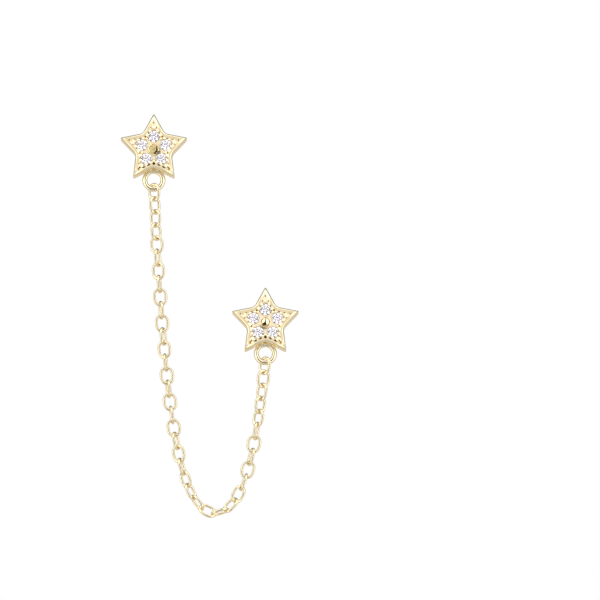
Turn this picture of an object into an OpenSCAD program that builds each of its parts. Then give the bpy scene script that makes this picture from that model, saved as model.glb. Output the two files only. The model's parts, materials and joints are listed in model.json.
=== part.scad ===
// Ear chain earring: two star studs, each set with five round stones round a
// polished dome, and joined by a fine oval-link chain that hangs in a loop.
// Both backs lie in the plane Y = 0 and the stones face -Y. +Z is up.
// The origin is on the upper star's back, where its post leaves it.

/* [Stones and dome] */
// Diameter of each round stone
stone_d = 1.0; // [0.8:0.05:1.3]
// Diameter of the polished dome in the middle of the star
dome_d = 0.94; // [0.7:0.02:1.2]
// Height of the dome above the stone field
dome_h = 0.42; // [0.3:0.02:0.46]
// Gap between the dome and each stone
dome_gap = 0.145; // [0.1:0.005:0.25]
// Clearance between a stone and the metal round it
seat_gap = 0.03; // [0.02:0.005:0.05]
// Turn of each stone in its seat, from one stone to the next
stone_turn = 17; // [0:1:45]

/* [Star] */
// Thickness of the star, from its back to its rim
star_t = 1.5; // [1.3:0.1:2.2]
// Half of the angle at each point of the star
tip_half_angle = 28.5; // [26:0.5:32]
// Radius of the rounding on each point
tip_round = 0.08; // [0.06:0.01:0.14]
// Radius of the hollow curve between two points
waist_round = 0.6; // [0.4:0.05:1.4]
// Gap between a stone and the side wall of the stone field
wall_gap = 0.05; // [0.05:0.01:0.2]
// Width of the rim round the stone field
rim_w = 0.42; // [0.35:0.01:0.6]
// Width and height of the bevel on the rim's outer edge
bevel = 0.14; // [0.08:0.01:0.2]
// Depth of the stone field below the rim
field_depth = 0.35; // [0.3:0.01:0.45]

/* [Grains] */
// Diameter of the small grains along the rim's inner edge
grain_d = 0.26; // [0.2:0.01:0.3]
// Height of each grain above the rim
grain_proud = 0.08; // [0.05:0.01:0.1]
// Distance of the grains' centres from the field's side wall
grain_in = 0.03; // [0.02:0.01:0.05]
// Distance of the first grain from the point of the stone field
grain_start = 0.32; // [0.28:0.02:0.5]
// Grains along each half side of the star
grain_count = 3; // [2:1:4]
// Diameter of the bead that holds two neighbouring stones
prong_d = 0.32; // [0.26:0.01:0.36]
// Height of that bead above the stone field
prong_h = 0.24; // [0.18:0.01:0.28]

/* [Ring and post] */
// Outside diameter of the soldered ring
ring_d = 2.04; // [1.9:0.02:2.4]
// Wire of the soldered ring
ring_wire = 0.44; // [0.36:0.01:0.46]
// Depth of the solder joint between ring and star
ring_bite = 0.05; // [0.04:0.01:0.1]
// Distance of the ring's wire centre from the star's back
ring_setback = 0.45; // [0.3:0.05:0.7]
// Diameter of the ear post
post_d = 0.8; // [0.7:0.05:1]
// Length of the ear post behind the star
post_l = 10; // [8:0.5:12]
// Length of the taper on the post's end
post_taper = 0.4; // [0.2:0.05:0.8]

/* [Chain] */
// Number of links
link_count = 39; // [37:2:45]
// Length of a link, outside
link_l = 1.84; // [1.8:0.01:1.9]
// Width of a link, outside
link_w = 1.3; // [1.26:0.02:1.4]
// Wire of a link
link_wire = 0.24; // [0.2:0.01:0.25]
// Play between two links, and between a link and a ring
link_gap = 0.19; // [0.17:0.01:0.2]

/* [Where the lower star hangs] */
// Distance from the upper star to the lower star, sideways
lower_x = 9.84; // [8:0.1:12]
// Distance from the upper star to the lower star, downwards
lower_drop = 15.45; // [12:0.1:18]

/* [Hidden] */
TIPS = 5;

GOLD = [0.91, 0.82, 0.62];
STONE = [0.93, 0.93, 0.98];
// Angle from one point of the star to the hollow beside it
half_step = 180 / TIPS;
// Sides of the drawn curves, and of the many small beads
$fn = 32;
BEAD_FN = 16;
TIP_STEPS = 4;
WAIST_STEPS = 6;

// The cut of a round stone, as shares of its diameter
table_share = 0.57;
crown_share = 0.16;
girdle_share = 0.03;
pavilion_share = 0.43;
stone_r = stone_d / 2;
crown_h = crown_share * stone_d;
girdle_h = girdle_share * stone_d;
pavilion_h = pavilion_share * stone_d;

// The star grows outwards from its stones: their circle, the field's straight
// sides, the rim, and the curves that join them
stone_circle_r = dome_d / 2 + dome_gap + stone_r;
field_line = stone_circle_r * sin(tip_half_angle) + stone_r + wall_gap;
star_line = field_line + rim_w;
waist_centre = (star_line + waist_round) / sin(tip_half_angle + half_step);
waist_r = waist_centre - waist_round;
field_z = star_t - field_depth;
girdle_z = field_z - girdle_h / 2;

// The ring hangs from the star's lower hollow, and the chain from the ring
ring_centre_r = waist_r - ring_bite + ring_d / 2;
ring_mid_r = (ring_d - ring_wire) / 2;
link_half_l = (link_l - link_wire) / 2;
link_half_w = (link_w - link_wire) / 2;
link_pitch = link_l - 2 * link_wire - link_gap;
link_hook = link_half_l - link_pitch / 2;
joint_drop = ring_mid_r - (ring_wire + link_wire) / 2 - link_gap + link_hook;
first_joint = [0, -ring_centre_r - joint_drop];

// Sides of a link and of its wire
LINK_SIDES = 14;
WIRE_SIDES = 6;
// Halving steps that find how the chain hangs
SEARCH_STEPS = 30;
// Roll of the links about the chain, added to a quarter turn every second
// link: [link as a share of the chain, roll]. The first and the last link
// stand across their rings, and the lowest links lean in the bend.
ROLL = [[0, 75], [0.13, 0], [0.5, 0], [0.62, 45], [0.74, 45], [0.87, 0], [1, 75]];

// Side of the star at a distance inside its edge, as points round the centre
function star_tip_arc(turn, inset) =
    let (
        r = max(tip_round - inset, tip_round / 4),
        c = (star_line - inset - r) / sin(tip_half_angle),
        sweep = 90 - tip_half_angle
    )
    [for (k = [0:TIP_STEPS])
        let (a = turn - sweep + 2 * sweep * k / TIP_STEPS)
        [c * cos(turn) + r * cos(a), c * sin(turn) + r * sin(a)]];

function star_waist_arc(turn, inset) =
    let (
        r = waist_round + inset,
        sweep = 90 - tip_half_angle - half_step
    )
    [for (k = [0:WAIST_STEPS])
        let (a = turn + 180 + sweep - 2 * sweep * k / WAIST_STEPS)
        [waist_centre * cos(turn) + r * cos(a), waist_centre * sin(turn) + r * sin(a)]];

function star_outline(inset) =
    [for (n = [0:TIPS - 1])
        let (turn = 90 + 2 * half_step * n)
        each concat(star_tip_arc(turn, inset), star_waist_arc(turn + half_step, inset))];

// The straight stretch of a side at a distance inside the star's edge, from the
// point of the star to where the hollow curve begins
function side_straight(inset) =
    let (
        tip = [(star_line - inset) / sin(tip_half_angle), 0],
        r = waist_round + inset,
        join = [
            waist_centre * cos(half_step) - r * sin(tip_half_angle),
            waist_centre * sin(half_step) - r * cos(tip_half_angle)
        ]
    )
    norm(join - tip);

function half_side(inset) =
    side_straight(inset)
        + (waist_round + inset) * (90 - tip_half_angle - half_step) * PI / 180;

// A place on that side, at a distance from the point of the star
function side_place(s, inset) =
    let (straight = side_straight(inset), r = waist_round + inset)
    s < straight
        ? [
            (star_line - inset) / sin(tip_half_angle) - s * cos(tip_half_angle),
            s * sin(tip_half_angle)
        ]
        : let (a = 270 - tip_half_angle - (s - straight) / r * 180 / PI)
            [waist_centre * cos(half_step) + r * cos(a), waist_centre * sin(half_step) + r * sin(a)];

// What the bevel takes off the rim: a star-shaped ring of triangular section,
// whose corners are given as [height, inset]
module edge_cut() {
    reach = tip_round / 2;
    corners = [
        [star_t - bevel - reach, -reach],
        [star_t + reach, -reach],
        [star_t + reach, bevel + reach]
    ];
    outlines = [for (c = corners) star_outline(c[1])];
    m = len(outlines[0]);
    polyhedron(
        points = [for (k = [0:2]) for (p = outlines[k]) [p[0], p[1], corners[k][0]]],
        faces = [for (k = [0:2]) for (i = [0:m - 1])
            let (j = (i + 1) % m, next = (k + 1) % 3)
            [k * m + i, next * m + i, next * m + j, k * m + j]]
    );
}

module each_tip() {
    for (n = [0:TIPS - 1]) rotate([0, 0, 90 + 2 * half_step * n]) children();
}

module stone_seat() {
    drop = pavilion_h * (1 + seat_gap / stone_r);
    translate([stone_circle_r, 0, girdle_z - girdle_h / 2 - seat_gap]) {
        cylinder(r = stone_r + seat_gap, h = star_t);
        translate([0, 0, -drop]) cylinder(r1 = seat_gap, r2 = stone_r + seat_gap, h = drop);
    }
}

module dome() {
    r = (dome_h * dome_h + dome_d * dome_d / 4) / (2 * dome_h);
    translate([0, 0, field_z + dome_h - r]) sphere(r = r);
}

module prong() {
    reach = stone_r + seat_gap + prong_d / 2;
    aside = stone_circle_r * sin(half_step);
    r = stone_circle_r * cos(half_step) + sqrt(max(reach * reach - aside * aside, 0));
    rotate([0, 0, half_step])
        translate([r, 0, field_z + prong_h - prong_d / 2])
            sphere(d = prong_d, $fn = BEAD_FN);
}

module grains() {
    inset = rim_w + grain_in;
    step = (half_side(inset) - grain_start) / (grain_count - 0.5);
    for (k = [0:grain_count - 1]) {
        place = side_place(grain_start + step * k, inset);
        for (side = [-1, 1])
            translate([place[0], side * place[1], star_t + grain_proud - grain_d / 2])
                sphere(d = grain_d, $fn = BEAD_FN);
    }
}

module ring() {
    translate([0, -ring_centre_r, ring_setback])
        rotate_extrude() translate([ring_mid_r, 0]) circle(d = ring_wire);
}

// The post starts half way through the metal under the dome
module post() {
    root = field_z / 2;
    translate([0, 0, post_taper - post_l])
        cylinder(d = post_d, h = post_l - post_taper + root);
    translate([0, 0, -post_l])
        cylinder(d1 = post_d / 2, d2 = post_d, h = post_taper);
}

// One stud in its own frame: back at z = 0, stones up, one point along +Y
module star_stud() {
    difference() {
        linear_extrude(height = star_t) polygon(star_outline(0));
        edge_cut();
        translate([0, 0, field_z])
            linear_extrude(height = star_t) polygon(star_outline(rim_w));
        each_tip() stone_seat();
    }
    dome();
    each_tip() {
        prong();
        grains();
    }
    ring();
    post();
}

// A round stone with its table up and its girdle's middle at z = 0
module round_stone() {
    n = 8;
    step = 360 / n;
    table_r = table_share * stone_r;
    // The star facets reach half way from the table to the girdle, and the
    // lower halves three quarters of the way to the culet
    crown_mid_r = (table_r * cos(step / 2) + stone_r) / 2;
    pavilion_mid_r = stone_r / 4;
    crown_mid_h = crown_h * (stone_r - crown_mid_r * cos(step / 2)) / (stone_r - table_r);
    pavilion_mid_h = pavilion_h * (1 - pavilion_mid_r * cos(step / 2) / stone_r);
    polyhedron(
        points = concat(
            stone_ring(n, table_r, girdle_h / 2 + crown_h, 0),
            stone_ring(n, crown_mid_r, girdle_h / 2 + crown_mid_h, step / 2),
            stone_ring(2 * n, stone_r, girdle_h / 2, 0),
            stone_ring(2 * n, stone_r, -girdle_h / 2, 0),
            stone_ring(n, pavilion_mid_r, -girdle_h / 2 - pavilion_mid_h, step / 2),
            [[0, 0, -girdle_h / 2 - pavilion_h]]
        ),
        faces = concat(
            [[for (i = [n - 1:-1:0]) i]],
            [for (i = [0:n - 1])
                let (
                    next = (i + 1) % n,
                    before = (i + n - 1) % n,
                    top = 2 * n,
                    bottom = 4 * n,
                    low = 6 * n,
                    culet = 7 * n,
                    g0 = 2 * i,
                    g1 = 2 * i + 1,
                    g2 = (2 * i + 2) % (2 * n)
                )
                each [
                    [i, next, n + i],
                    [i, n + i, top + g0, n + before],
                    [n + i, top + g1, top + g0],
                    [n + i, top + g2, top + g1],
                    [top + g0, top + g1, bottom + g1, bottom + g0],
                    [top + g1, top + g2, bottom + g2, bottom + g1],
                    [bottom + g0, bottom + g1, low + i],
                    [bottom + g1, bottom + g2, low + i],
                    [bottom + g0, low + i, culet, low + before]
                ]]
        )
    );
}

function stone_ring(n, r, z, turn) =
    [for (k = [0:n - 1]) [r * cos(turn + 360 * k / n), r * sin(turn + 360 * k / n), z]];

module set_stone(n) {
    rotate([0, 0, 90 + 2 * half_step * (n - 1)])
        translate([stone_circle_r, 0, girdle_z])
            rotate([0, 0, stone_turn * n]) round_stone();
}

// An oval link with round ends, its length along X and its width along Z
module link() {
    end_steps = LINK_SIDES / 2 - 1;
    polyhedron(
        points = [for (end = [0, 180]) for (i = [0:end_steps])
            let (t = end - 90 + 180 * i / end_steps, along = link_half_l - link_half_w)
            for (k = [0:WIRE_SIDES - 1])
                let (a = 360 * k / WIRE_SIDES, r = link_half_w + link_wire / 2 * cos(a))
                [along * cos(end) + r * cos(t), link_wire / 2 * sin(a), r * sin(t)]],
        faces = [for (i = [0:LINK_SIDES - 1]) for (k = [0:WIRE_SIDES - 1])
            let (next = (i + 1) % LINK_SIDES, k2 = (k + 1) % WIRE_SIDES)
            [
                i * WIRE_SIDES + k,
                i * WIRE_SIDES + k2,
                next * WIRE_SIDES + k2,
                next * WIRE_SIDES + k
            ]]
    );
}

// The hanging chain: under its own weight the slope of a link grows by the
// same step from each link to the next. `low` is the place of the level link
// and `pull` how many links it takes to reach a slope of one.
function link_dir(i, low, pull) =
    let (slope = (i - low) / pull)
    [1, slope] / sqrt(1 + slope * slope);

// Where the chain ends, from where it starts
function chain_reach(low, pull) =
    let (dirs = [for (i = [1:link_count]) link_dir(i, low, pull)])
    link_pitch * ([for (d = dirs) 1] * dirs);

// Both are found by halving: `low` so that the chain ends as far down as the
// lower star, and `pull` so that it ends as far to the side
function find_low(pull, from, to, steps) =
    let (middle = (from + to) / 2)
    steps == 0 ? middle
        : chain_reach(middle, pull)[1] > -lower_drop
            ? find_low(pull, middle, to, steps - 1)
            : find_low(pull, from, middle, steps - 1);

function find_pull(from, to, steps) =
    let (
        middle = (from + to) / 2,
        low = find_low(middle, 0, link_count, SEARCH_STEPS)
    )
    steps == 0 ? middle
        : chain_reach(low, middle)[0] < lower_x
            ? find_pull(middle, to, steps - 1)
            : find_pull(from, middle, steps - 1);

function chain_joints(low, pull) =
    [for (
        i = 0, p = first_joint;
        i <= link_count;
        i = i + 1, p = p + link_pitch * link_dir(i, low, pull)
    ) p];

module upper_star() {
    color(GOLD) rotate([90, 0, 0]) star_stud();
}

module lower_star() {
    color(GOLD) translate([lower_x, 0, -lower_drop]) rotate([90, 0, 0]) star_stud();
}

module upper_stone(n) {
    color(STONE) rotate([90, 0, 0]) set_stone(n);
}

module lower_stone(n) {
    color(STONE) translate([lower_x, 0, -lower_drop]) rotate([90, 0, 0]) set_stone(n);
}

module chain() {
    pull = find_pull(0.1, link_count, SEARCH_STEPS);
    low = find_low(pull, 0, link_count, SEARCH_STEPS);
    joints = chain_joints(low, pull);
    color(GOLD)
        for (i = [1:link_count]) {
            centre = (joints[i - 1] + joints[i]) / 2;
            dir = link_dir(i, low, pull);
            roll = lookup((i - 1) / (link_count - 1), ROLL);
            translate([centre[0], -ring_setback, centre[1]])
                rotate([0, -atan2(dir[1], dir[0]), 0])
                    rotate([i % 2 == 1 ? roll : roll + 90, 0, 0]) link();
        }
}

upper_star();
lower_star();
for (n = [1:TIPS]) upper_stone(n);
for (n = [1:TIPS]) lower_stone(n);
chain();
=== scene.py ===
# %% [markdown]
# # Ear chain earring
#
# Two star studs, each set with five round stones round a polished dome, and a fine
# oval-link chain that hangs in a loop between them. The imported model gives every
# place. This script gives the looks: softened edges, grains, a chain whose links
# touch, polished pale gold, cut stones, and the studio that they mirror.
#
# Shapes are made in millimetres and turned to metres when they become pieces.

# %% Load the fixed frame
import json
import math

import bmesh
import bpy
import numpy as np
from mathutils import Matrix, Vector


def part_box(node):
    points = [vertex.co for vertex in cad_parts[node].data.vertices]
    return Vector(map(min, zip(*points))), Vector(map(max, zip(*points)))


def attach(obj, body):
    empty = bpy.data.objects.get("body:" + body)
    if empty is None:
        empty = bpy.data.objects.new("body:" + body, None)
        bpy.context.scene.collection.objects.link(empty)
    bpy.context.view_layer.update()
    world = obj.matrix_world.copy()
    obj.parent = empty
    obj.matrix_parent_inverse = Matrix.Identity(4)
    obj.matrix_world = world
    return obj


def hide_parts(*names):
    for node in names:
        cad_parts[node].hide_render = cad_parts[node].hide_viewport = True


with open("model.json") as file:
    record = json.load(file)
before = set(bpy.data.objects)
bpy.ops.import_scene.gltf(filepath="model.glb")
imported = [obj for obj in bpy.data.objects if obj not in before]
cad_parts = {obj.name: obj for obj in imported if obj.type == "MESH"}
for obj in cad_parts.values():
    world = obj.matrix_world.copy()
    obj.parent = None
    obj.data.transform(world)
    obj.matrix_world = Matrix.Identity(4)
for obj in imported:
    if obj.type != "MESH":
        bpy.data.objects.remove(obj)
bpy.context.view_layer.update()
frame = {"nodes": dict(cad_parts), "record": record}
MM = 0.001

# %% [markdown]
# ## Places
#
# Each stud sits where its mount says. The stones of the model give their own radius
# and that of the circle on which they lie. These sizes could be typed here once more,
# but read from the model they stay right when it changes, and the stars below are
# drawn round the stones that are really there.

# %% Read the studs' places and the stones' sizes
mounts = {m["name"]: Vector(m["pos_m"]) for m in frame["record"]["mounts"]}
STUDS = {"upper": mounts["ear_seat_upper"], "lower": mounts["ear_seat_lower"]}
stone_low, stone_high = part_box("upper_stone_1")
STONE_R = (stone_high.x - stone_low.x) / 2 / MM
STONE_CIRCLE_R = (stone_low.z + stone_high.z) / 2 / MM
GIRDLE_HEIGHT = -(stone_low.y + stone_high.y) / 2 / MM
print(f"stones of radius {STONE_R:.2f} mm on a circle of radius {STONE_CIRCLE_R:.2f} mm")

# %% Number the points of a star
TIPS = 5
HALF_STEP = math.pi / TIPS
# Point 0 is at the top and the others follow anticlockwise, each with the waist after it
UPPER_POINTS = (0, 1, 4)
LOWER_POINTS = (2, 3)
LOWER_WAIST = 2
OTHER_WAISTS = (0, 1, 3, 4)


def point_turn(n):
    """The direction of a point from the star's centre. That of a waist lies half a step on."""
    return math.pi / 2 + 2 * HALF_STEP * n


print("points at", [round(math.degrees(point_turn(n))) % 360 for n in range(TIPS)], "degrees")

# %% [markdown]
# ## Small helpers
#
# A skin joins rows of points that lie one above the other, as the decks of a cast
# star or the rings of a lathe-turned post do. Blender's own primitives could stand in
# for some pieces, but a skin takes any profile with its real roundings, so the star, its
# fillings, the dome, the ring and the post are skins.

# %% Skins and turned shapes
def skin(name, rows, front_cap=False, back_cap=False, loop=False):
    """A mesh over rows of points of equal length, each row a closed ring."""
    count = len(rows[0])
    points = [p for row in rows for p in row]
    faces = []
    for k in range(len(rows) if loop else len(rows) - 1):
        above = (k + 1) % len(rows)
        for i in range(count):
            j = (i + 1) % count
            faces.append((k * count + i, k * count + j, above * count + j, above * count + i))
    if back_cap:
        faces.append(tuple(reversed(range(count))))
    if front_cap:
        faces.append(tuple(range(len(points) - count, len(points))))
    mesh = bpy.data.meshes.new(name)
    mesh.from_pydata(points, [], faces)
    return mesh


def turned(name, profile, centre, steps, loop=False):
    """A profile of (radius, height in front of the back) turned round a line along Y."""
    rows = []
    for radius, height in profile:
        rows.append([
            (
                centre[0] + radius * math.cos(2 * math.pi * i / steps),
                -height,
                centre[1] + radius * math.sin(2 * math.pi * i / steps),
            )
            for i in range(steps)
        ])
    return skin(name, rows, front_cap=not loop, back_cap=not loop, loop=loop)


def arc(centre, radius, start, end, steps):
    """Points of an arc from one angle to another, in degrees."""
    angles = [math.radians(start + (end - start) * k / steps) for k in range(steps + 1)]
    return [(centre[0] + radius * math.cos(a), centre[1] + radius * math.sin(a)) for a in angles]


def around(radius, angle):
    """A point at a distance from the star's centre, in a direction."""
    return Vector((radius * math.cos(angle), radius * math.sin(angle)))


# %% Objects and pieces
def add_object(name, data):
    """A new object in the scene."""
    thing = bpy.data.objects.new(name, data)
    bpy.context.scene.collection.objects.link(thing)
    return thing


def smooth(mesh, sharp_degrees=35):
    """Shades a mesh smooth, but keeps its real edges sharp."""
    mesh.polygons.foreach_set("use_smooth", [True] * len(mesh.polygons))
    mesh.set_sharp_from_angle(angle=math.radians(sharp_degrees))


def add_piece(name, mesh, place=Vector((0, 0, 0))):
    """Turns a mesh in millimetres into a piece in metres at its place on the object."""
    mesh.transform(Matrix.Translation(place) @ Matrix.Scale(MM, 4))
    piece = add_object(name, mesh)
    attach(piece, "root")
    triangles = sum(len(p.vertices) - 2 for p in mesh.polygons)
    print(f"{name}: {triangles} triangles")
    return piece


# %% [markdown]
# ## Materials
#
# The whole earring is one pale yellow gold over brass. The cast star is polished by
# hand and keeps soft waves, the wire of the rings and links is smoother, the sunk field,
# the grains and the back are satin, and the cuts between the grains were never polished,
# so they are rough, and their gold is painted darker as shade, darkest in the deep cuts.
# Painted pictures could show all that, but noise in Object coordinates needs no
# unwrapping and keeps its size on every piece. One shader group makes the traces of
# polishing for all of them.

# %% Node helpers
def set_sockets(node, values):
    """Sets input sockets of a node to constants."""
    for socket, value in values.items():
        node.inputs[socket].default_value = value


def link_value(tree, value, socket):
    """Sets a socket to a number or colour, or links it to another socket."""
    if isinstance(value, bpy.types.NodeSocket):
        tree.links.new(value, socket)
    else:
        socket.default_value = value


def math_node(tree, operation, *values):
    """The result of a Math node."""
    node = tree.nodes.new("ShaderNodeMath")
    node.operation = operation
    for value, socket in zip(values, node.inputs):
        link_value(tree, value, socket)
    return node.outputs[0]


def map_range(tree, value, from_low, from_high, to_low, to_high, smoothly=False):
    """A value moved from one range to another, and kept inside it."""
    node = tree.nodes.new("ShaderNodeMapRange")
    node.interpolation_type = "SMOOTHSTEP" if smoothly else "LINEAR"
    for number, socket in zip((value, from_low, from_high, to_low, to_high), node.inputs):
        link_value(tree, number, socket)
    return node.outputs[0]


def rise(tree, value, start, end):
    """A soft step from 0 to 1 while a value goes from start to end."""
    return map_range(tree, value, start, end, 0.0, 1.0, smoothly=True)


def mix_colours(tree, factor, first, second):
    """The first colour at a factor of 0, and the second at 1."""
    node = tree.nodes.new("ShaderNodeMix")
    node.data_type = "RGBA"
    sockets = [s for s in node.inputs if s.enabled]
    for value, socket in zip((factor, first, second), sockets):
        link_value(tree, value, socket)
    return next(s for s in node.outputs if s.enabled)


def new_material(name, values):
    """A material whose Principled shader has some sockets set to constants."""
    material = bpy.data.materials.new(name)
    material.use_nodes = True
    set_sockets(material.node_tree.nodes["Principled BSDF"], values)
    return material


# %% The traces of polishing, as one shader group
def make_polish_group():
    """Soft waves of a hand-held polish, fine scratches, and a tint that shifts with them."""
    tree = bpy.data.node_groups.new("Traces of polishing", "ShaderNodeTree")
    sockets = (
        ("Metal", "NodeSocketColor", (0.9, 0.8, 0.5, 1)),
        ("Shaded Metal", "NodeSocketColor", (0.8, 0.7, 0.4, 1)),
        ("Low Roughness", "NodeSocketFloat", 0.05),
        ("High Roughness", "NodeSocketFloat", 0.15),
        ("Wave Size", "NodeSocketFloat", 0.5),
        ("Scratch Size", "NodeSocketFloat", 0.03),
    )
    for name, kind, value in sockets:
        tree.interface.new_socket(name, in_out="INPUT", socket_type=kind).default_value = value
    for name, kind in (("Colour", "Color"), ("Roughness", "Float"), ("Height", "Float")):
        tree.interface.new_socket(name, in_out="OUTPUT", socket_type="NodeSocket" + kind)
    given = tree.nodes.new("NodeGroupInput").outputs
    result = tree.nodes.new("NodeGroupOutput").inputs
    place = tree.nodes.new("ShaderNodeTexCoord").outputs["Object"]

    def noise(size_mm, detail):
        node = tree.nodes.new("ShaderNodeTexNoise")
        tree.links.new(place, node.inputs["Vector"])
        tree.links.new(math_node(tree, "DIVIDE", 1 / MM, size_mm), node.inputs["Scale"])
        node.inputs["Detail"].default_value = detail
        return node.outputs["Fac"]

    def blend(first, second, first_share):
        return math_node(tree, "ADD", math_node(tree, "MULTIPLY", first, first_share),
                         math_node(tree, "MULTIPLY", second, 1 - first_share))

    waves = noise(given["Wave Size"], detail=2)
    scratches = noise(given["Scratch Size"], detail=4)
    worn = rise(tree, waves, 0.35, 0.65)
    colour = mix_colours(tree, worn, given["Metal"], given["Shaded Metal"])
    traces = blend(worn, scratches, first_share=0.5)
    rough = map_range(tree, traces, 0.2, 0.8, given["Low Roughness"], given["High Roughness"])
    height = blend(waves, scratches, first_share=0.6)
    tree.links.new(colour, result["Colour"])
    tree.links.new(rough, result["Roughness"])
    tree.links.new(height, result["Height"])
    return tree


POLISH = make_polish_group()
print("polish group:", len(POLISH.nodes), "nodes")


# %% The finishes of gold
def make_gold(name, metal, shaded, roughness, wave_mm, scratch_mm, relief_mm):
    """A gold finish: its two tints, its range of roughness, and the relief of its polish."""
    material = new_material(name, {"Metallic": 1.0})
    tree = material.node_tree
    surface = tree.nodes["Principled BSDF"]
    polish = tree.nodes.new("ShaderNodeGroup")
    polish.node_tree = POLISH
    set_sockets(polish, {
        "Metal": (*metal, 1),
        "Shaded Metal": (*shaded, 1),
        "Low Roughness": roughness[0],
        "High Roughness": roughness[1],
        "Wave Size": wave_mm,
        "Scratch Size": scratch_mm,
    })
    bump = tree.nodes.new("ShaderNodeBump")
    set_sockets(bump, {"Strength": 1.0, "Distance": relief_mm * MM})
    tree.links.new(polish.outputs["Height"], bump.inputs["Height"])
    tree.links.new(polish.outputs["Colour"], surface.inputs["Base Color"])
    tree.links.new(polish.outputs["Roughness"], surface.inputs["Roughness"])
    tree.links.new(bump.outputs["Normal"], surface.inputs["Normal"])
    return material


cast_gold = make_gold(
    "Polished cast gold", (0.97, 0.86, 0.65), (0.94, 0.81, 0.58), (0.06, 0.14),
    wave_mm=0.55, scratch_mm=0.04, relief_mm=0.008,
)
polished_gold = make_gold(
    "Polished gold wire", (0.97, 0.85, 0.64), (0.95, 0.82, 0.6), (0.08, 0.16),
    wave_mm=0.9, scratch_mm=0.04, relief_mm=0.001,
)
satin_gold = make_gold(
    "Satin gold", (0.96, 0.87, 0.7), (0.93, 0.82, 0.64), (0.3, 0.42),
    wave_mm=0.3, scratch_mm=0.05, relief_mm=0.004,
)
# Painted shade: the gold of the cuts is darker than the rim, as the shade in their recesses.
recess_shade_gold = make_gold(
    "Gold of the cuts, painted darker as shade", (0.82, 0.68, 0.44), (0.7, 0.57, 0.34), (0.45, 0.6),
    wave_mm=0.2, scratch_mm=0.04, relief_mm=0.004,
)
# Painted shade, darker still: the gold of the deep cuts along the lower hollow.
deep_shade_gold = make_gold(
    "Gold of the deep cuts, painted dark as shade", (0.4, 0.31, 0.14), (0.28, 0.22, 0.09), (0.5, 0.65),
    wave_mm=0.2, scratch_mm=0.04, relief_mm=0.004,
)
finishes = (cast_gold, polished_gold, satin_gold, recess_shade_gold, deep_shade_gold)
print("finishes:", [finish.name for finish in finishes])

# %% [markdown]
# The stones are cut clear cubic zirconia. A bright pattern on a plain disc could pass
# for one from afar. Here the brilliance is real: the facets of the model's own solids
# bend and throw back the light of the studio, so the material only needs a high index
# of refraction and a breath of violet.

# %% The stones
clear_stone = new_material("Clear stone", {
    "Base Color": (0.95, 0.94, 1.0, 1),
    "Transmission Weight": 1.0,
    "Roughness": 0.0,
    "IOR": 2.16,
})
stone_names = [n for n in sorted(frame["nodes"]) if "stone" in n]
for name in stone_names:
    stone = frame["nodes"][name]
    stone.material_slots[0].material = clear_stone
print("stones:", len(stone_names))

# %% [markdown]
# ## The star
#
# A star setting is cast, then its rim is filed nearly flat, with a narrow bevel outside,
# and each point is filed down a little. The sides are straight near each point and meet
# in a round hollow. A block with bevelled edges could come near to it. Here the same
# outline, moved inwards step by step, gives every deck of the star, so the rim keeps one
# width along every side, and the outline is written once as a function of that inset.

# %% The star's outline
TIP_HALF_ANGLE = math.radians(28.5)
TIP_ROUND = 0.08
WAIST_ROUND = 0.6
WALL_GAP = 0.05
RIM_W = 0.42
FIELD_LINE = STONE_CIRCLE_R * math.sin(TIP_HALF_ANGLE) + STONE_R + WALL_GAP
STAR_LINE = FIELD_LINE + RIM_W
STAR_R = (STAR_LINE - TIP_ROUND) / math.sin(TIP_HALF_ANGLE) + TIP_ROUND
WAIST_CENTRE = (STAR_LINE + WAIST_ROUND) / math.sin(TIP_HALF_ANGLE + HALF_STEP)
WAIST_R = WAIST_CENTRE - WAIST_ROUND
TIP_SWEEP = math.pi / 2 - TIP_HALF_ANGLE
WAIST_SWEEP = TIP_SWEEP - HALF_STEP
TIP_STEPS = 8
WAIST_STEPS = 20


def star_outline(inset):
    """The star's edge moved inwards, as points in millimetres round the star's centre."""
    points = []
    tip_round = max(TIP_ROUND - inset, TIP_ROUND / 4)
    tip_centre = (STAR_LINE - inset - tip_round) / math.sin(TIP_HALF_ANGLE)
    for n in range(TIPS):
        turn = point_turn(n)
        for k in range(TIP_STEPS + 1):
            a = turn - TIP_SWEEP + 2 * TIP_SWEEP * k / TIP_STEPS
            points.append(around(tip_centre, turn) + around(tip_round, a))
        turn += HALF_STEP
        for k in range(WAIST_STEPS + 1):
            a = turn + math.pi + WAIST_SWEEP - 2 * WAIST_SWEEP * k / WAIST_STEPS
            points.append(around(WAIST_CENTRE, turn) + around(WAIST_ROUND + inset, a))
    return points


print(f"star: {2 * STAR_R:.2f} mm across the circle through its points")

# %% The decks of the star
GRAIN_PROUD = 0.08
STAR_T = -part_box("upper_star")[0].y / MM - GRAIN_PROUD
MIDDLE_HEIGHT = STAR_T * 0.5
FIELD_HEIGHT = STAR_T - 0.35
BACK_ROUND = 0.06
BEVEL_W = 0.11
BEVEL_H = 0.12
BEVEL_EASE = 0.01
RIDGE_ROUND = 0.03
SLOPE_DROP = 0.025
LIP_ROUND = 0.04
WALL_LEAN = 0.01
ROOT_ROUND = 0.05
# Where the middle point of a small rounding lies, as a share of the rounding
ROUND_SHARE = 0.3


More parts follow.
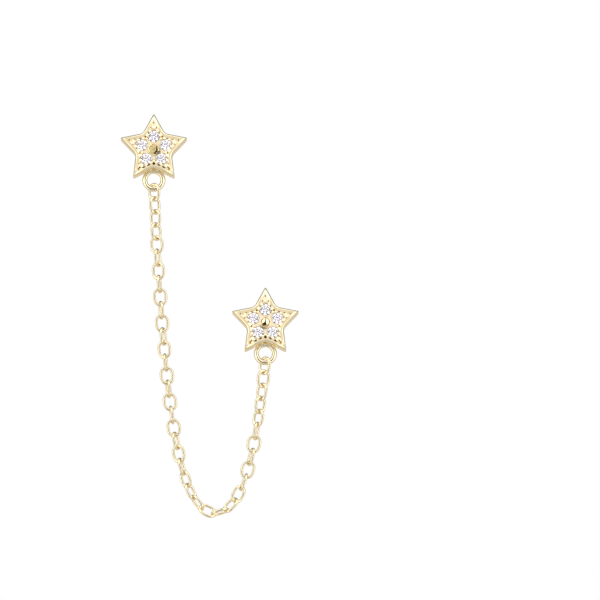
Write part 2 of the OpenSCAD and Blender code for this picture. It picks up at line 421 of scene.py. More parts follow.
def star_profile():
    """(inset, height) from the middle of the back, round the edge, to the sunk field."""
    lip = STAR_T - SLOPE_DROP
    return [
        *arc((BACK_ROUND, BACK_ROUND), BACK_ROUND, 270, 180, 4),
        (0, MIDDLE_HEIGHT),
        (0, STAR_T - BEVEL_H - 2 * BEVEL_EASE),
        (BEVEL_EASE, STAR_T - BEVEL_H),
        (BEVEL_W - RIDGE_ROUND, STAR_T - RIDGE_ROUND),
        (BEVEL_W, STAR_T - RIDGE_ROUND * ROUND_SHARE),
        (BEVEL_W + RIDGE_ROUND, STAR_T),
        (RIM_W - LIP_ROUND, lip),
        (RIM_W - LIP_ROUND * ROUND_SHARE, lip - LIP_ROUND * ROUND_SHARE),
        (RIM_W, lip - LIP_ROUND),
        (RIM_W + WALL_LEAN, FIELD_HEIGHT + ROOT_ROUND),
        (RIM_W + ROOT_ROUND, FIELD_HEIGHT),
    ]


# %% Points filed down a little
DROP_START = 2.72
POINT_DROP = 0.2


def point_drop(radius):
    """How far the file has taken the rim down at a distance from the star's centre."""
    share = min(max((radius - DROP_START) / (STAR_R - DROP_START), 0), 1)
    return POINT_DROP * share**2


def star_decks():
    """The star over its decks. Nothing below half its height is filed."""
    rows = []
    for inset, height in star_profile():
        share = max(height - MIDDLE_HEIGHT, 0) / MIDDLE_HEIGHT
        rows.append([
            (p.x, -height + share * point_drop(p.length), p.y) for p in star_outline(inset)
        ])
    return skin("star", rows, front_cap=True, back_cap=True)


star_mesh = star_decks()
print("star decks:", len(star_mesh.polygons), "faces")

# %% [markdown]
# ## Grains and cuts
#
# Along the foot of the rim the setter raises a row of grains, with one more inside each
# point, and a short cut parts each grain from the next. The cuts are deep along the lower
# hollow and smaller elsewhere, and their gold is painted as shade: dark in the deep cuts
# and a little darker than the rim in the others. Each could be set by hand, but grains and
# cuts are the same thing to Geometry Nodes: small bodies at even steps along a path. One
# tree makes either, and the cuts are then taken out of the star with a Boolean.

# %% A tree that sets small bodies along a path
def new_tree(name, inputs):
    """An empty Geometry Nodes tree with named inputs."""
    tree = bpy.data.node_groups.new(name, "GeometryNodeTree")
    tree.interface.new_socket("Geometry", in_out="INPUT", socket_type="NodeSocketGeometry")
    for socket, kind in inputs:
        tree.interface.new_socket(socket, in_out="INPUT", socket_type="NodeSocket" + kind)
    tree.interface.new_socket("Geometry", in_out="OUTPUT", socket_type="NodeSocketGeometry")
    return tree


def chain_nodes(tree, *nodes):
    """Links the first output of each node to the first input of the next."""
    for first, second in zip(nodes, nodes[1:]):
        tree.links.new(first.outputs[0], second.inputs[0])


def make_row_tree():
    """Balls of a given size at even steps along each path, their X side along it."""
    tree = new_tree("Row of small bodies", (
        ("Count", "Int"),
        ("Size", "Vector"),
        ("Sides", "Int"),
        ("Material", "Material"),
    ))
    new = tree.nodes.new
    given = new("NodeGroupInput")
    path = new("GeometryNodeMeshToCurve")
    resample = new("GeometryNodeResampleCurve")
    place = new("GeometryNodeInstanceOnPoints")
    realize = new("GeometryNodeRealizeInstances")
    shade = new("GeometryNodeSetShadeSmooth")
    paint = new("GeometryNodeSetMaterial")
    result = new("NodeGroupOutput")
    chain_nodes(tree, given, path, resample, place, realize, shade, paint, result)
    body = new("GeometryNodeMeshUVSphere")
    body.inputs["Radius"].default_value = 0.5
    tangent = new("GeometryNodeInputTangent")
    turn = new("FunctionNodeAlignRotationToVector")
    turn.axis = "X"
    tree.links.new(tangent.outputs[0], turn.inputs["Vector"])
    tree.links.new(given.outputs["Count"], resample.inputs["Count"])
    tree.links.new(given.outputs["Sides"], body.inputs["Segments"])
    rings = math_node(tree, "MULTIPLY", given.outputs["Sides"], 0.5)
    tree.links.new(rings, body.inputs["Rings"])
    tree.links.new(body.outputs["Mesh"], place.inputs["Instance"])
    tree.links.new(turn.outputs["Rotation"], place.inputs["Rotation"])
    tree.links.new(given.outputs["Size"], place.inputs["Scale"])
    tree.links.new(given.outputs["Material"], paint.inputs["Material"])
    return tree


ROW_TREE = make_row_tree()
print("row tree:", len(ROW_TREE.nodes), "nodes")


# %% Run a tree
def grow(name, tree, points, edges, values, attributes=()):
    """Runs a tree on points and edges and returns what it grows as a plain mesh."""
    seed = bpy.data.meshes.new(name + "_seed")
    seed.from_pydata(points, edges, [])
    for attribute, vectors in attributes:
        kind = "FLOAT_VECTOR" if np.ndim(vectors) == 2 else "FLOAT"
        layer = seed.attributes.new(attribute, kind, "POINT")
        layer.data.foreach_set("vector" if kind == "FLOAT_VECTOR" else "value", np.ravel(vectors))
    host = add_object(name + "_host", seed)
    modifier = host.modifiers.new("Grow", "NODES")
    modifier.node_group = tree
    for item in tree.interface.items_tree:
        if item.in_out == "INPUT" and item.name in values:
            modifier[item.identifier] = values[item.name]
    shape = host.evaluated_get(bpy.context.evaluated_depsgraph_get())
    mesh = bpy.data.meshes.new_from_object(shape)
    bpy.data.objects.remove(host)
    bpy.data.meshes.remove(seed)
    return mesh


# %% A path along half a side of the star
def half_side(inset):
    """Half a side, moved inwards: its point, its straight's length, its hollow's circle."""
    tip = Vector(((STAR_LINE - inset) / math.sin(TIP_HALF_ANGLE), 0))
    radius = WAIST_ROUND + inset
    centre = around(WAIST_CENTRE, HALF_STEP)
    straight = (centre - around(radius, TIP_SWEEP) - tip).length
    return tip, straight, centre, radius


def half_side_length(inset):
    """The length from the point to the middle of the hollow."""
    _, straight, _, radius = half_side(inset)
    return straight + radius * WAIST_SWEEP


def half_side_path(inset, start, end, steps=12):
    """Points on the half side from one distance to another, measured from its point."""
    tip, straight, centre, radius = half_side(inset)
    path = []
    for k in range(steps + 1):
        s = start + (end - start) * k / steps
        if s < straight:
            path.append(tip + s * Vector((-math.cos(TIP_HALF_ANGLE), math.sin(TIP_HALF_ANGLE))))
        else:
            path.append(centre - around(radius, TIP_SWEEP - (s - straight) / radius))
    return path


# %% Copies of a path, and short paths
ALL_SIDES = [(n, side) for n in range(TIPS) for side in (1, -1)]
LOWER_SIDES = [(2, 1), (3, -1)]
OTHER_SIDES = [pair for pair in ALL_SIDES if pair not in LOWER_SIDES]
SHORT_PATH = 0.1


def half_sides(path, height, which):
    """Mirrored and turned copies of a half side's path, as points and edges."""
    points = []
    edges = []
    for n, side in which:
        turn = Matrix.Rotation(point_turn(n), 2)
        first = len(points)
        for p in path:
            q = turn @ Vector((p.x, side * p.y))
            points.append((q.x, -height, q.y))
        edges += [(i, i + 1) for i in range(first, len(points) - 1)]
    return points, edges


def short_paths(apexes, waists, inset, height):
    """Short paths at some points, along their axes, and at some waists, along the side."""
    places = []
    for n in apexes:
        turn = point_turn(n)
        places.append((around((STAR_LINE - inset) / math.sin(TIP_HALF_ANGLE), turn), turn))
    for n in waists:
        turn = point_turn(n + 0.5)
        places.append((around(WAIST_R - inset, turn), turn + math.pi / 2))
    points = []
    edges = []
    for p, turn in places:
        q = p + around(SHORT_PATH, turn)
        edges.append((len(points), len(points) + 1))
        points += [(p.x, -height, p.y), (q.x, -height, q.y)]
    return points, edges


# %% Grow the grains
BODY_SIDES = 16
GRAIN_D = 0.26
GRAIN_STRETCH = 1.3
GRAIN_COUNT = 3
GRAIN_INSET = RIM_W + 0.07
POINT_GRAIN_INSET = RIM_W + 0.22
GRAIN_HEIGHT = STAR_T - SLOPE_DROP - 0.1
grain_step = half_side_length(GRAIN_INSET) / GRAIN_COUNT
grain_path = half_side_path(GRAIN_INSET, grain_step / 2, grain_step * (GRAIN_COUNT - 0.5))
grains_mesh = grow("grains", ROW_TREE, *half_sides(grain_path, GRAIN_HEIGHT, ALL_SIDES), {
    "Count": GRAIN_COUNT,
    "Size": (GRAIN_D * GRAIN_STRETCH, GRAIN_D, GRAIN_D),
    "Sides": BODY_SIDES,
    "Material": satin_gold,
})
point_grains_mesh = grow(
    "point_grains", ROW_TREE, *short_paths(range(TIPS), (), POINT_GRAIN_INSET, GRAIN_HEIGHT),
    {"Count": 1, "Size": (GRAIN_D, GRAIN_D, GRAIN_D), "Sides": BODY_SIDES, "Material": satin_gold},
)
print(f"grains: one every {grain_step:.2f} mm along the rim, {len(grains_mesh.polygons)} faces")

# %% Grow the bodies of the cuts
CUT_INSET = RIM_W - 0.01
CUT_HEIGHT = STAR_T - 0.05
PER_HALF_SIDE = GRAIN_COUNT - 1
cut_step = half_side_length(CUT_INSET) / GRAIN_COUNT
cut_path = half_side_path(CUT_INSET, cut_step, cut_step * PER_HALF_SIDE)
# The deep cuts carry the gold painted dark as shade, the others the gold painted a little darker.
deep_cut = {"Size": (0.36, 0.7, 0.26), "Sides": BODY_SIDES, "Material": deep_shade_gold}
point_cut = {"Size": (0.26, 0.4, 0.16), "Sides": BODY_SIDES, "Material": recess_shade_gold}
light_cut = {"Size": (0.2, 0.24, 0.12), "Sides": BODY_SIDES, "Material": recess_shade_gold}
cut_rows = {
    "lower_cuts": (half_sides(cut_path, CUT_HEIGHT, LOWER_SIDES), PER_HALF_SIDE, deep_cut),
    "lower_waist_cut": (short_paths((), (LOWER_WAIST,), CUT_INSET, CUT_HEIGHT), 1, deep_cut),
    "lower_point_cuts": (short_paths(LOWER_POINTS, (), CUT_INSET, CUT_HEIGHT), 1, point_cut),
    "other_cuts": (half_sides(cut_path, CUT_HEIGHT, OTHER_SIDES), PER_HALF_SIDE, light_cut),
    "other_short_cuts": (
        short_paths(UPPER_POINTS, OTHER_WAISTS, CUT_INSET, CUT_HEIGHT), 1, light_cut
    ),
}
cut_meshes = [
    grow(name, ROW_TREE, *paths, {"Count": count, **cut})
    for name, (paths, count, cut) in cut_rows.items()
]
print("cuts:", sum(len(mesh.polygons) for mesh in cut_meshes), "faces")

# %% [markdown]
# ## Seats
#
# Each stone sits in a cone drilled to the angle of its pavilion, a hair wider than
# the stone, and the drilled wall is left satin. The seats could be drawn into the
# field, but a drill is what the setter takes, so a turned drill is taken out of the
# star, in the same Booleans as the cuts.

# %% Drill the seats and take out the cuts
SEAT_GAP = 0.03
SEAT_FOOT_R = 0.03
SEAT_RIM_DROP = 0.16
SEAT_CONE_H = 0.46
DRILL_REACH = 0.52


def seat_mesh(n):
    """The drill for one stone: a cone, and a shaft that reaches out of the star."""
    wall = STONE_R + SEAT_GAP
    cone_top = GIRDLE_HEIGHT - SEAT_RIM_DROP
    profile = [
        (SEAT_FOOT_R, cone_top - SEAT_CONE_H),
        (wall, cone_top),
        (wall, GIRDLE_HEIGHT + DRILL_REACH),
    ]
    mesh = turned("seat", profile, around(STONE_CIRCLE_R, point_turn(n)), 48)
    mesh.materials.append(satin_gold)
    return mesh


def cut_away(mesh, cutters):
    """Takes the cutters out of a mesh with exact Booleans."""
    body = add_object("body", mesh)
    tools = []
    for cutter in cutters:
        tool = add_object("tool", cutter)
        modifier = body.modifiers.new("Cut", "BOOLEAN")
        modifier.operation = "DIFFERENCE"
        modifier.solver = "EXACT"
        modifier.material_mode = "TRANSFER"
        modifier.object = tool
        tools.append(tool)
    shape = body.evaluated_get(bpy.context.evaluated_depsgraph_get())
    result = bpy.data.meshes.new_from_object(shape)
    for used in (body, *tools):
        bpy.data.objects.remove(used)
    return result


star_mesh.materials.append(cast_gold)
star_mesh.materials.append(satin_gold)
# The last two faces are the caps, which are the back and the sunk field
for face in star_mesh.polygons[-2:]:
    face.material_index = 1
star_mesh = cut_away(star_mesh, [*cut_meshes, *(seat_mesh(n) for n in range(TIPS))])
print("cut star:", len(star_mesh.polygons), "faces,", [m.name for m in star_mesh.materials])

# %% [markdown]
# Inside the three upper points the gold is left standing between the rim and the stone,
# only a little lower than the rim, so these points look full. The field itself could
# rise there, but its cap is one flat face. Each filling is therefore a plate of its own,
# with two straight sides against the rim and a hollow side along the stone's seat.

# %% The gold left in the upper points
FILL_HEIGHT = STAR_T - 0.13
FILL_ROUND = 0.03
FILL_TOP_SHARE = 0.94
FILL_OVERLAP = 0.02
FILL_SETBACK = 0.01


def point_fills_mesh():
    """The three fillings of a star as one mesh."""
    tip = (FIELD_LINE + FILL_OVERLAP) / math.sin(TIP_HALF_ANGLE)
    hollow = STONE_R + SEAT_GAP + FILL_SETBACK
    side = 90 - math.degrees(TIP_HALF_ANGLE)
    edge = arc((STONE_CIRCLE_R, 0), hollow, side, -side, 16) + [(tip, 0)]
    middle = (STONE_CIRCLE_R + hollow + tip) / 2
    decks = (
        (1, FIELD_HEIGHT - FILL_OVERLAP),
        (1, FILL_HEIGHT - FILL_ROUND),
        (FILL_TOP_SHARE, FILL_HEIGHT),
    )
    fills = bmesh.new()
    for n in UPPER_POINTS:
        turn = Matrix.Rotation(point_turn(n), 2)
        rows = []
        for share, height in decks:
            flat = [turn @ Vector((middle + (x - middle) * share, y * share)) for x, y in edge]
            rows.append([(p.x, -height, p.y) for p in flat])
        fills.from_mesh(skin("fill", rows, front_cap=True, back_cap=True))
    bmesh.ops.recalc_face_normals(fills, faces=fills.faces)
    mesh = bpy.data.meshes.new("point_fills")
    fills.to_mesh(mesh)
    fills.free()
    mesh.materials.append(satin_gold)
    return mesh


fills_mesh = point_fills_mesh()
print("fillings:", len(fills_mesh.polygons), "faces")

# %% [markdown]
# ## Dome, beads, ring and post
#
# The dome, the five beads that hold the stones, the ring and the post are made by
# themselves and soldered on, as on the real stud. Joining them with a Boolean would only
# roughen their shading. The dome, the ring and the post are turned from a profile, and
# the beads are grown by the tree that made the grains.

# %% The dome
DOME_D = 0.94
DOME_H = 0.42
DOME_CURVE = (DOME_H**2 + DOME_D**2 / 4) / (2 * DOME_H)
DOME_MIDDLE_HEIGHT = FIELD_HEIGHT + DOME_H - DOME_CURVE


def dome_mesh():
    """A dome from below the field up to just beside its top, which a small cap closes."""
    profile = arc((0, DOME_MIDDLE_HEIGHT), DOME_CURVE, -30, 88, 24)
    return turned("dome", profile, (0, 0), 64)


print(f"dome: {DOME_D} mm wide, with a radius of {DOME_CURVE:.3f} mm")

# %% The ring and the post
RING_D = 2.04
RING_WIRE = 0.44
RING_BITE = 0.05
RING_SETBACK = 0.45
RING_CENTRE = -(WAIST_R - RING_BITE + RING_D / 2)
POST_D = 0.8
POST_END = -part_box("upper_star")[1].y / MM
POST_TIP_ROUND = 0.25
POST_FILLET = 0.12
POST_BITE = 0.2


def ring_mesh():
    """The ring that carries the chain, soldered into the lower waist."""
    profile = arc(((RING_D - RING_WIRE) / 2, RING_SETBACK), RING_WIRE / 2, 0, 360, 32)[:-1]
    return turned("ring", profile, (0, RING_CENTRE), 96, loop=True)


def post_mesh():
    """The post from its round tip, through a fillet of solder, into the star's back."""
    corner = (POST_D / 2 - POST_TIP_ROUND, POST_END + POST_TIP_ROUND)
    profile = [
        *arc(corner, POST_TIP_ROUND, 275, 360, 8),
        (POST_D / 2, -POST_FILLET),
        *arc((POST_D / 2 + POST_FILLET, -POST_FILLET), POST_FILLET, 180, 90, 6),
        (POST_D / 2 + POST_FILLET, POST_BITE),
    ]
    return turned("post", profile, (0, 0), 48)


print(f"ring: {RING_D} mm wide, {-RING_CENTRE:.2f} mm below the star's centre; "
      f"post: {-POST_END:.1f} mm long")

# %% The five beads between the stones
PRONG_D = 0.32
PRONG_H = 0.24
PRONG_PATH_STEPS = 60
prong_reach = STONE_R + SEAT_GAP + PRONG_D / 2
prong_aside = STONE_CIRCLE_R * math.sin(HALF_STEP)
PRONG_R = STONE_CIRCLE_R * math.cos(HALF_STEP) + math.sqrt(max(prong_reach**2 - prong_aside**2, 0))


def prong_ring():
    """A closed path through the beads, starting at the first waist."""
    points = []
    for k in range(PRONG_PATH_STEPS):
        p = around(PRONG_R, math.pi / 2 + HALF_STEP + 2 * math.pi * k / PRONG_PATH_STEPS)
        points.append((p.x, -(FIELD_HEIGHT + PRONG_H - PRONG_D / 2), p.y))
    return points, [(k, (k + 1) % PRONG_PATH_STEPS) for k in range(PRONG_PATH_STEPS)]


prongs_mesh = grow("prongs", ROW_TREE, *prong_ring(), {
    "Count": TIPS,
    "Size": (PRONG_D, PRONG_D, PRONG_D),
    "Sides": 24,
    "Material": polished_gold,
})
print(f"beads on a circle of radius {PRONG_R:.2f} mm")

# %% Set both studs
stud_parts = {
    "setting": star_mesh,
    "grains": grains_mesh,
    "point_grains": point_grains_mesh,
    "point_fills": fills_mesh,
    "prongs": prongs_mesh,
    "dome": dome_mesh(),
    "ring": ring_mesh(),
    "post": post_mesh(),
}
for part, mesh in stud_parts.items():
    if not mesh.materials:
        mesh.materials.append(polished_gold)
    smooth(mesh)
    for stud, place in STUDS.items():
        piece = add_piece(f"{stud}_{part}", mesh.copy(), place)
        if part == "setting":
            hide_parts(f"{stud}_star")

# %% [markdown]
# ## The chain
#
# A cable chain is one oval of wire, again and again. Each link hangs in the one above
# it, turned by about a quarter. An Array modifier along a curve would turn them all
# alike, and real links aren't. The model says where each link lies and which way it
# points. Geometry Nodes draw the oval, sweep the wire round it, and set a link on each
# of those points with its own roll.

# %% Where the links lie
LINK_COUNT = 39
chain_points = np.array([v.co for v in frame["nodes"]["chain"].data.vertices])
link_points = chain_points.reshape(LINK_COUNT, -1, 3) / MM
link_centres = link_points.mean(axis=1)
link_dirs = np.array([
    np.linalg.svd(points - centre)[2][0]
    for points, centre in zip(link_points, link_centres)
])
onward = np.gradient(link_centres, axis=0)
link_dirs *= np.sign((link_dirs * onward).sum(axis=1))[:, None]
pitch = float(np.linalg.norm(np.diff(link_centres, axis=0), axis=1).max())
print(f"{LINK_COUNT} links, one every {pitch:.3f} mm")

# Roll of each link about the chain, in degrees: a link with no roll faces the camera.
# Worked out from how wide the link looks in the photograph, then moved where
# the link would not have threaded its neighbours
ROLLS = (
    37, -43, 42, -45, 20, -69, 28, -80, 2, 78, -8, -70, 22, -82, 0, 75, -4, 84, 8, -68,
    28, -71, 50, -57, 69, -32, 80, -48, 34, -80, 0, -71, 2, 74, -44, 45, -44, 28, -37,
)


# %% A tree that draws a link and hangs the chain
LINK_STEPS = 48
WIRE_SIDES = 14


def make_chain_tree():
    """A link of swept wire on every point, along its direction and turned by its roll."""
    tree = new_tree("Cable chain", (
        ("Link Length", "Float"),
        ("Link Width", "Float"),
        ("Wire", "Float"),
        ("Straightness", "Float"),
        ("Material", "Material"),
    ))
    new = tree.nodes.new
    given = new("NodeGroupInput")
    hang = new("GeometryNodeInstanceOnPoints")
    realize = new("GeometryNodeRealizeInstances")
    shade = new("GeometryNodeSetShadeSmooth")
    paint = new("GeometryNodeSetMaterial")
    result = new("NodeGroupOutput")
    chain_nodes(tree, given, hang, realize, shade, paint, result)

    def number(operation, *values):
        return math_node(tree, operation, *values)

    def half_inside(size):
        return number("MULTIPLY", number("SUBTRACT", given.outputs[size], given.outputs["Wire"]), 0.5)

    half_width = half_inside("Link Width")
    half_length = half_inside("Link Length")
    circle = new("GeometryNodeCurvePrimitiveCircle")
    circle.inputs["Resolution"].default_value = LINK_STEPS
    tree.links.new(half_width, circle.inputs["Radius"])
    position = new("GeometryNodeInputPosition")
    parts = new("ShaderNodeSeparateXYZ")
    tree.links.new(position.outputs[0], parts.inputs[0])
    share = number("DIVIDE", parts.outputs["X"], half_width)
    # A pushed-out circle has straight sides, and a stretched one bulges
    pushed = number("MULTIPLY", number("SIGN", share), number("SUBTRACT", half_length, half_width))
    pushed = number("ADD", pushed, parts.outputs["X"])
    stretched = number("MULTIPLY", share, half_length)
    along = number("ADD", number("MULTIPLY", pushed, given.outputs["Straightness"]),
                   number("MULTIPLY", stretched, number("SUBTRACT", 1.0, given.outputs["Straightness"])))
    oval_place = new("ShaderNodeCombineXYZ")
    tree.links.new(along, oval_place.inputs["X"])
    tree.links.new(parts.outputs["Y"], oval_place.inputs["Z"])
    oval = new("GeometryNodeSetPosition")
    tree.links.new(circle.outputs["Curve"], oval.inputs["Geometry"])
    tree.links.new(oval_place.outputs[0], oval.inputs["Position"])
    even = new("GeometryNodeResampleCurve")
    even.inputs["Count"].default_value = LINK_STEPS
    tree.links.new(oval.outputs[0], even.inputs["Curve"])
    wire = new("GeometryNodeCurvePrimitiveCircle")
    wire.inputs["Resolution"].default_value = WIRE_SIDES
    tree.links.new(number("MULTIPLY", given.outputs["Wire"], 0.5), wire.inputs["Radius"])
    sweep = new("GeometryNodeCurveToMesh")
    tree.links.new(even.outputs[0], sweep.inputs["Curve"])
    tree.links.new(wire.outputs["Curve"], sweep.inputs["Profile Curve"])
    tree.links.new(sweep.outputs[0], hang.inputs["Instance"])

    def stored(name, kind):
        node = new("GeometryNodeInputNamedAttribute")
        node.data_type = kind
        node.inputs["Name"].default_value = name
        return node.outputs["Attribute"]

    point_along = new("FunctionNodeAlignRotationToVector")
    point_along.axis = "X"
    tree.links.new(stored("along", "FLOAT_VECTOR"), point_along.inputs["Vector"])
    roll = new("FunctionNodeAxisAngleToRotation")
    roll.inputs["Axis"].default_value = (1, 0, 0)
    tree.links.new(stored("roll", "FLOAT"), roll.inputs["Angle"])
    both = new("FunctionNodeRotateRotation")
    both.rotation_space = "LOCAL"
    tree.links.new(point_along.outputs[0], both.inputs["Rotation"])
    tree.links.new(roll.outputs[0], both.inputs["Rotate By"])
    tree.links.new(both.outputs[0], hang.inputs["Rotation"])
    tree.links.new(given.outputs["Material"], paint.inputs["Material"])
    return tree


# %% Hang the chain
LINK_WIRE = 0.25
LINK_W = 1.26
LINK_PLAY = 0.012
LINK_STRAIGHTNESS = 0.6
chain_mesh = grow(
    "chain_links",
    make_chain_tree(),
    link_centres,
    [],
    {
        "Link Length": pitch + 2 * LINK_WIRE + LINK_PLAY,
        "Link Width": LINK_W,
        "Wire": LINK_WIRE,
        "Straightness": LINK_STRAIGHTNESS,
        "Material": polished_gold,
    },
    (("along", link_dirs), ("roll", np.radians(ROLLS))),
)
chain_piece = add_piece("chain_links", chain_mesh)
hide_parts("chain")

# %% [markdown]
# ## Camera
#
# The photograph is taken from far away and a little below. The camera could be moved by
# eye until the pictures match. Here the photograph's pixels to the millimetre give the
# lens, and the pixel at which the upper star's centre lies gives the place.

# %% The camera
PHOTO_SIDE = 600
PIXELS_PER_MM = 11.35
UPPER_STAR_PIXEL = (153.8, 148.2)
FROM_BELOW = math.radians(8.5)
CAMERA_DISTANCE = 1.2
SENSOR_W = 36
look = Vector((0, math.cos(FROM_BELOW), math.sin(FROM_BELOW)))
up = Vector((0, -math.sin(FROM_BELOW), math.cos(FROM_BELOW)))
right = Vector((1, 0, 0))
star_front = Vector((0, -STAR_T * MM, 0))
aside_mm = (PHOTO_SIDE / 2 - UPPER_STAR_PIXEL[0]) / PIXELS_PER_MM
down_mm = (PHOTO_SIDE / 2 - UPPER_STAR_PIXEL[1]) / PIXELS_PER_MM
aim = star_front + right * aside_mm * MM - up * down_mm * MM

camera_data = bpy.data.cameras.new("camera")
camera = add_object("camera", camera_data)
camera.location = aim - look * CAMERA_DISTANCE
camera.rotation_mode = "QUATERNION"
camera.rotation_quaternion = look.to_track_quat("-Z", "Y")
camera_data.sensor_width = SENSOR_W
camera_data.lens = camera_data.sensor_width * CAMERA_DISTANCE / (PHOTO_SIDE / PIXELS_PER_MM * MM)
camera_data.clip_start = 0.01
camera_data.clip_end = 20
bpy.context.scene.camera = camera
bpy.context.scene.view_settings.view_transform = "Standard"
print(f"lens {camera_data.lens:.0f} mm at {CAMERA_DISTANCE} m")

# %% [markdown]
# ## Studio
#
# Polished gold shows nothing but its surroundings. Here they are two tall lamps in
# front, a less bright gap between them where the lens looks in, which widens downwards,
# grey-green sides, and behind the earring a pale table under a dim room, which draws the
# darker edges of the metal. Light that has passed through a stone meets a darker gap,
# for more contrast. Area lights could stand round the earring instead, but a world
# shader gives soft edges to every field and leaves nothing in the camera's way. The
# camera itself sees plain white and a pale floor.

# %% The colours and edges of the light tent
TABLE = (0.76, 0.66, 0.52, 1)
ROOM = (0.28, 0.31, 0.28, 1)
SIDES = (0.6, 0.65, 0.6, 1)
LAMPS = (1.93, 1.87, 1.68, 1)
LAMPS_IN_STONE = (1.8, 1.76, 1.75, 1)
GAP = (0.85, 0.81, 0.71, 1)
GAP_IN_STONE = (0.26, 0.25, 0.31, 1)
# The start and the end of each soft edge, in the direction's part along one axis, which
# is tilted for the lamps
TABLE_EDGE = (0.03, 0.2)
SIDE_EDGE = (0.05, 0.5)
LAMP_EDGE = (0.15, 0.5)
LAMP_TILT = 0.2
# The gap's half width at two heights, and its own soft edge as shares of that width
GAP_HEIGHTS = (-0.6, 0.95)
GAP_WIDTHS = (0.5, 0.08)
GAP_EDGE = (0.75, 1.1)
STONE_GAP_SHARE = 0.62
print("lamps", round(LAMPS[1] / GAP[1], 1), "times as bright as the gap between them")


# %% The light tent
def make_tent():
    """The world: white for the camera, and the tent for every other ray."""
    world = bpy.data.worlds.new("Light tent")
    bpy.context.scene.world = world
    world.use_nodes = True
    tree = world.node_tree
    tree.nodes.clear()
    direction = tree.nodes.new("ShaderNodeTexCoord").outputs["Generated"]
    parts = tree.nodes.new("ShaderNodeSeparateXYZ")
    tree.links.new(direction, parts.inputs[0])
    x, y, z = parts.outputs
    path = tree.nodes.new("ShaderNodeLightPath").outputs
    in_stone = path["Is Transmission Ray"]
    # Behind: a pale table below, and the dim room above it
    room = mix_colours(tree, rise(tree, z, *TABLE_EDGE), TABLE, ROOM)
    beside = map_range(tree, y, *SIDE_EDGE, 1.0, 0.0, smoothly=True)
    around_it = mix_colours(tree, beside, room, SIDES)
    # In front: two tall lamps, and between them the gap where the camera stands
    lamps = mix_colours(tree, in_stone, LAMPS, LAMPS_IN_STONE)
    gap_colour = mix_colours(tree, in_stone, GAP, GAP_IN_STONE)
    gap_width = map_range(tree, z, *GAP_HEIGHTS, *GAP_WIDTHS)
    gap_share = map_range(tree, in_stone, 0, 1, 1.0, STONE_GAP_SHARE)
    gap_width = math_node(tree, "MULTIPLY", gap_width, gap_share)
    aside = math_node(tree, "DIVIDE", math_node(tree, "ABSOLUTE", x), gap_width)
    in_gap = map_range(tree, aside, *GAP_EDGE, 1.0, 0.0, smoothly=True)
    front = mix_colours(tree, in_gap, lamps, gap_colour)
    faces_front = math_node(tree, "SUBTRACT", math_node(tree, "MULTIPLY", z, LAMP_TILT), y)
    colour = mix_colours(tree, rise(tree, faces_front, *LAMP_EDGE), around_it, front)
    tent = tree.nodes.new("ShaderNodeBackground")
    tree.links.new(colour, tent.inputs["Color"])
    backdrop = tree.nodes.new("ShaderNodeBackground")
    backdrop.inputs["Color"].default_value = (1, 1, 1, 1)
    either = tree.nodes.new("ShaderNodeMixShader")
    tree.links.new(path["Is Camera Ray"], either.inputs[0])
    tree.links.new(tent.outputs[0], either.inputs[1])
    tree.links.new(backdrop.outputs[0], either.inputs[2])
    output = tree.nodes.new("ShaderNodeOutputWorld")
    tree.links.new(either.outputs[0], output.inputs["Surface"])
    print("light tent:", len(tree.nodes), "nodes")


make_tent()

# %% The floor
FLOOR_HALF_SIDE = 6.0
FLOOR_LEVEL = -0.3


def make_floor():
    """A pale floor well below the earring, in metres, that the metal doesn't mirror."""
    mesh = bpy.data.meshes.new("floor")
    corners = [(x * FLOOR_HALF_SIDE, y * FLOOR_HALF_SIDE, FLOOR_LEVEL)
               for x, y in ((-1, -1), (1, -1), (1, 1), (-1, 1))]
    mesh.from_pydata(corners, [], [(0, 1, 2, 3)])
    mesh.materials.append(new_material("Pale floor", {
        "Base Color": (0.9, 0.9, 0.9, 1),
        "Roughness": 0.8,
        "Emission Color": (0.9, 0.9, 0.95, 1),
        "Emission Strength": 0.25,
    }))
    floor = add_object("floor", mesh)
    floor.visible_glossy = False
    floor.visible_transmission = False


make_floor()
print(f"floor: {2 * FLOOR_HALF_SIDE} m wide, {-FLOOR_LEVEL} m below the upper star")

# %% [markdown]
# Each dome mirrors a dark shape that shows how round it is: a drop in the lower star,
# and in the upper one a crescent beside a tan glow. They could be painted on the domes,
# but then they would stay there from every side, as no reflection does. Small cards
# make them instead. Each is bent round its dome and is traced the way light goes: rows
# across the shape, as the camera sees it on the dome, are thrown back by the dome on to
# the card's sphere. A grey ribbon in front of the chain draws the thin grey line along
# every wire. Only the metal sees the cards, only from inside, and only with rays that
# meet a card squarely.

# %% The shapes of the cards round the domes
DOME_MIDDLE = Vector((0, -DOME_MIDDLE_HEIGHT, 0))
CARD_R = 0.7
CARD_ACROSS = 6
CARD_DOWN = 24
# Each shape as (height, left, right) in millimetres from the dome's middle
DROP = (
    (0.36, 0.01, 0.05), (0.2, 0.0, 0.07), (0.06, -0.06, 0.07), (0.0, -0.14, 0.06),
    (-0.08, -0.26, 0.08), (-0.2, -0.27, 0.1), (-0.27, -0.2, 0.05),
)
CRESCENT = (
    (0.28, 0.17, 0.22), (0.1, 0.18, 0.3), (-0.1, 0.18, 0.34), (-0.2, 0.14, 0.34),
    (-0.28, 0.06, 0.32), (-0.34, 0.0, 0.26), (-0.39, -0.02, 0.15),
)
PALE_DISC = (
    (0.36, -0.06, 0.1), (0.28, -0.2, 0.16), (0.1, -0.3, 0.17), (-0.1, -0.32, 0.17),
    (-0.2, -0.3, 0.13), (-0.28, -0.24, 0.05), (-0.34, -0.14, -0.01),
)


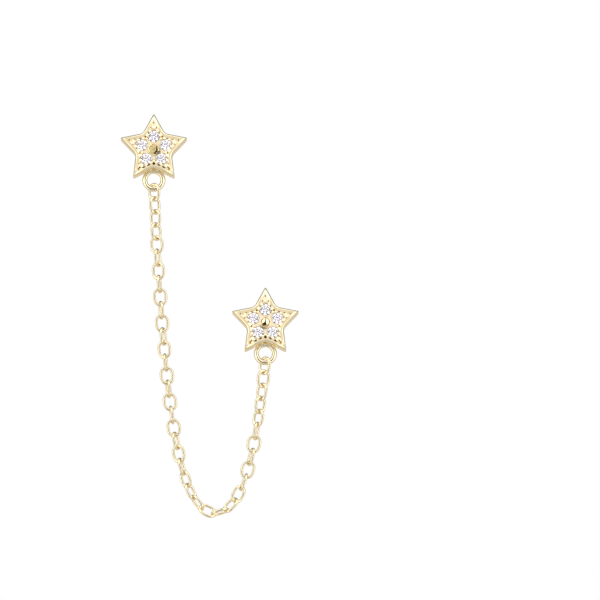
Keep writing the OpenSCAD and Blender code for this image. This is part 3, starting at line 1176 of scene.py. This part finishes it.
def thrown_back(aside, height):
    """Where the dome throws the camera's view of one of its points on the card's sphere."""
    toward = math.sqrt(DOME_CURVE**2 - aside**2 - height**2)
    arm = right * aside + up * height - look * toward
    normal = arm.normalized()
    ray = look - normal * (2 * look.dot(normal))
    along = -arm.dot(ray) + math.sqrt(arm.dot(ray)**2 + CARD_R**2 - DOME_CURVE**2)
    return DOME_MIDDLE + arm + ray * along


print(f"cards {CARD_R - DOME_CURVE:.2f} mm in front of the domes")


# %% The material of a card, and its place on the stage
def make_card_material(name, colour, limit, glow=0.0):
    """A card that only rays from its front side see, and only those that meet it squarely."""
    material = new_material(name, {
        "Base Color": (*colour, 1),
        "Roughness": 1.0,
        "Specular IOR Level": 0.0,
        "Emission Color": (*colour, 1),
        "Emission Strength": glow,
    })
    tree = material.node_tree
    facing = tree.nodes.new("ShaderNodeLayerWeight").outputs["Facing"]
    aslant = rise(tree, facing, *limit)
    behind = tree.nodes.new("ShaderNodeNewGeometry").outputs["Backfacing"]
    clear = tree.nodes.new("ShaderNodeBsdfTransparent")
    either = tree.nodes.new("ShaderNodeMixShader")
    tree.links.new(math_node(tree, "MAXIMUM", aslant, behind), either.inputs[0])
    tree.links.new(tree.nodes["Principled BSDF"].outputs[0], either.inputs[1])
    tree.links.new(clear.outputs[0], either.inputs[2])
    tree.links.new(either.outputs[0], tree.nodes["Material Output"].inputs["Surface"])
    return material


def stage_card(name, points, across, material):
    """A card of rows of points in millimetres, seen in the metal only."""
    faces = [
        (i, i + 1, i + across + 1, i + across)
        for i in range(len(points) - across) if (i + 1) % across
    ]
    mesh = bpy.data.meshes.new(name)
    mesh.from_pydata(points, [], faces)
    mesh.transform(Matrix.Scale(MM, 4))
    if mesh.polygons[len(faces) // 2].normal.y < 0:
        mesh.flip_normals()
    mesh.polygons.foreach_set("use_smooth", [True] * len(mesh.polygons))
    mesh.materials.append(material)
    card = add_object(name, mesh)
    card.visible_camera = False
    card.visible_diffuse = False
    card.visible_transmission = False
    card.visible_shadow = False
    print(f"{name}: {len(faces)} faces")


# %% Set the cards round the domes
DOME_CARD_LIMIT = (0.5, 0.8)


def dome_card(name, shape, stud, material):
    """A card round the dome of one stud that shows a shape in it."""
    heights, lefts, rights = zip(*shape)
    points = []
    for height in np.linspace(heights[0], heights[-1], CARD_DOWN):
        left_end = np.interp(-height, [-h for h in heights], lefts)
        right_end = np.interp(-height, [-h for h in heights], rights)
        row = np.linspace(left_end, right_end, CARD_ACROSS)
        points += [thrown_back(aside, height) for aside in row]
    place = STUDS[stud] / MM
    stage_card(name, [p + place for p in points], CARD_ACROSS, material)


card_black = make_card_material("Black card", (0.1, 0.08, 0.04), DOME_CARD_LIMIT)
card_pale = make_card_material("Pale card", (0.92, 0.96, 0.76), DOME_CARD_LIMIT, glow=0.17)
dome_card("card_lower", DROP, "lower", card_black)
dome_card("card_upper", CRESCENT, "upper", card_black)
dome_card("card_upper_pale", PALE_DISC, "upper", card_pale)

# %% The grey ribbon in front of the chain
RIBBON_W = 4.0
RIBBON_END_W = 2.6
RIBBON_Y = -2.7
RIBBON_ABOVE_RING = 0.6
RIBBON_SHARES = (-0.5, -0.17, 0.17, 0.5)
RIBBON_LIMIT = (0.15, 0.4)


def chain_ribbon():
    """A ribbon along the chain and over both rings, and narrower there."""
    rings = [place / MM + Vector((0, 0, RING_CENTRE)) for place in STUDS.values()]
    tops = [ring + Vector((0, 0, RIBBON_ABOVE_RING)) for ring in rings]
    line = np.array([tops[0], rings[0], *link_centres, rings[1], tops[1]])
    tangents = np.gradient(line, axis=0)
    widths = np.full(len(line), RIBBON_W)
    widths[[0, 1, -2, -1]] = RIBBON_END_W
    points = []
    for place, tangent, width in zip(line, tangents, widths):
        across = Vector((tangent[2], 0, -tangent[0])).normalized()
        for share in RIBBON_SHARES:
            points.append(Vector((place[0], RIBBON_Y, place[2])) + across * width * share)
    grey = make_card_material("Grey card", (0.42, 0.5, 0.6), RIBBON_LIMIT)
    stage_card("card_chain", points, len(RIBBON_SHARES), grey)


chain_ribbon()
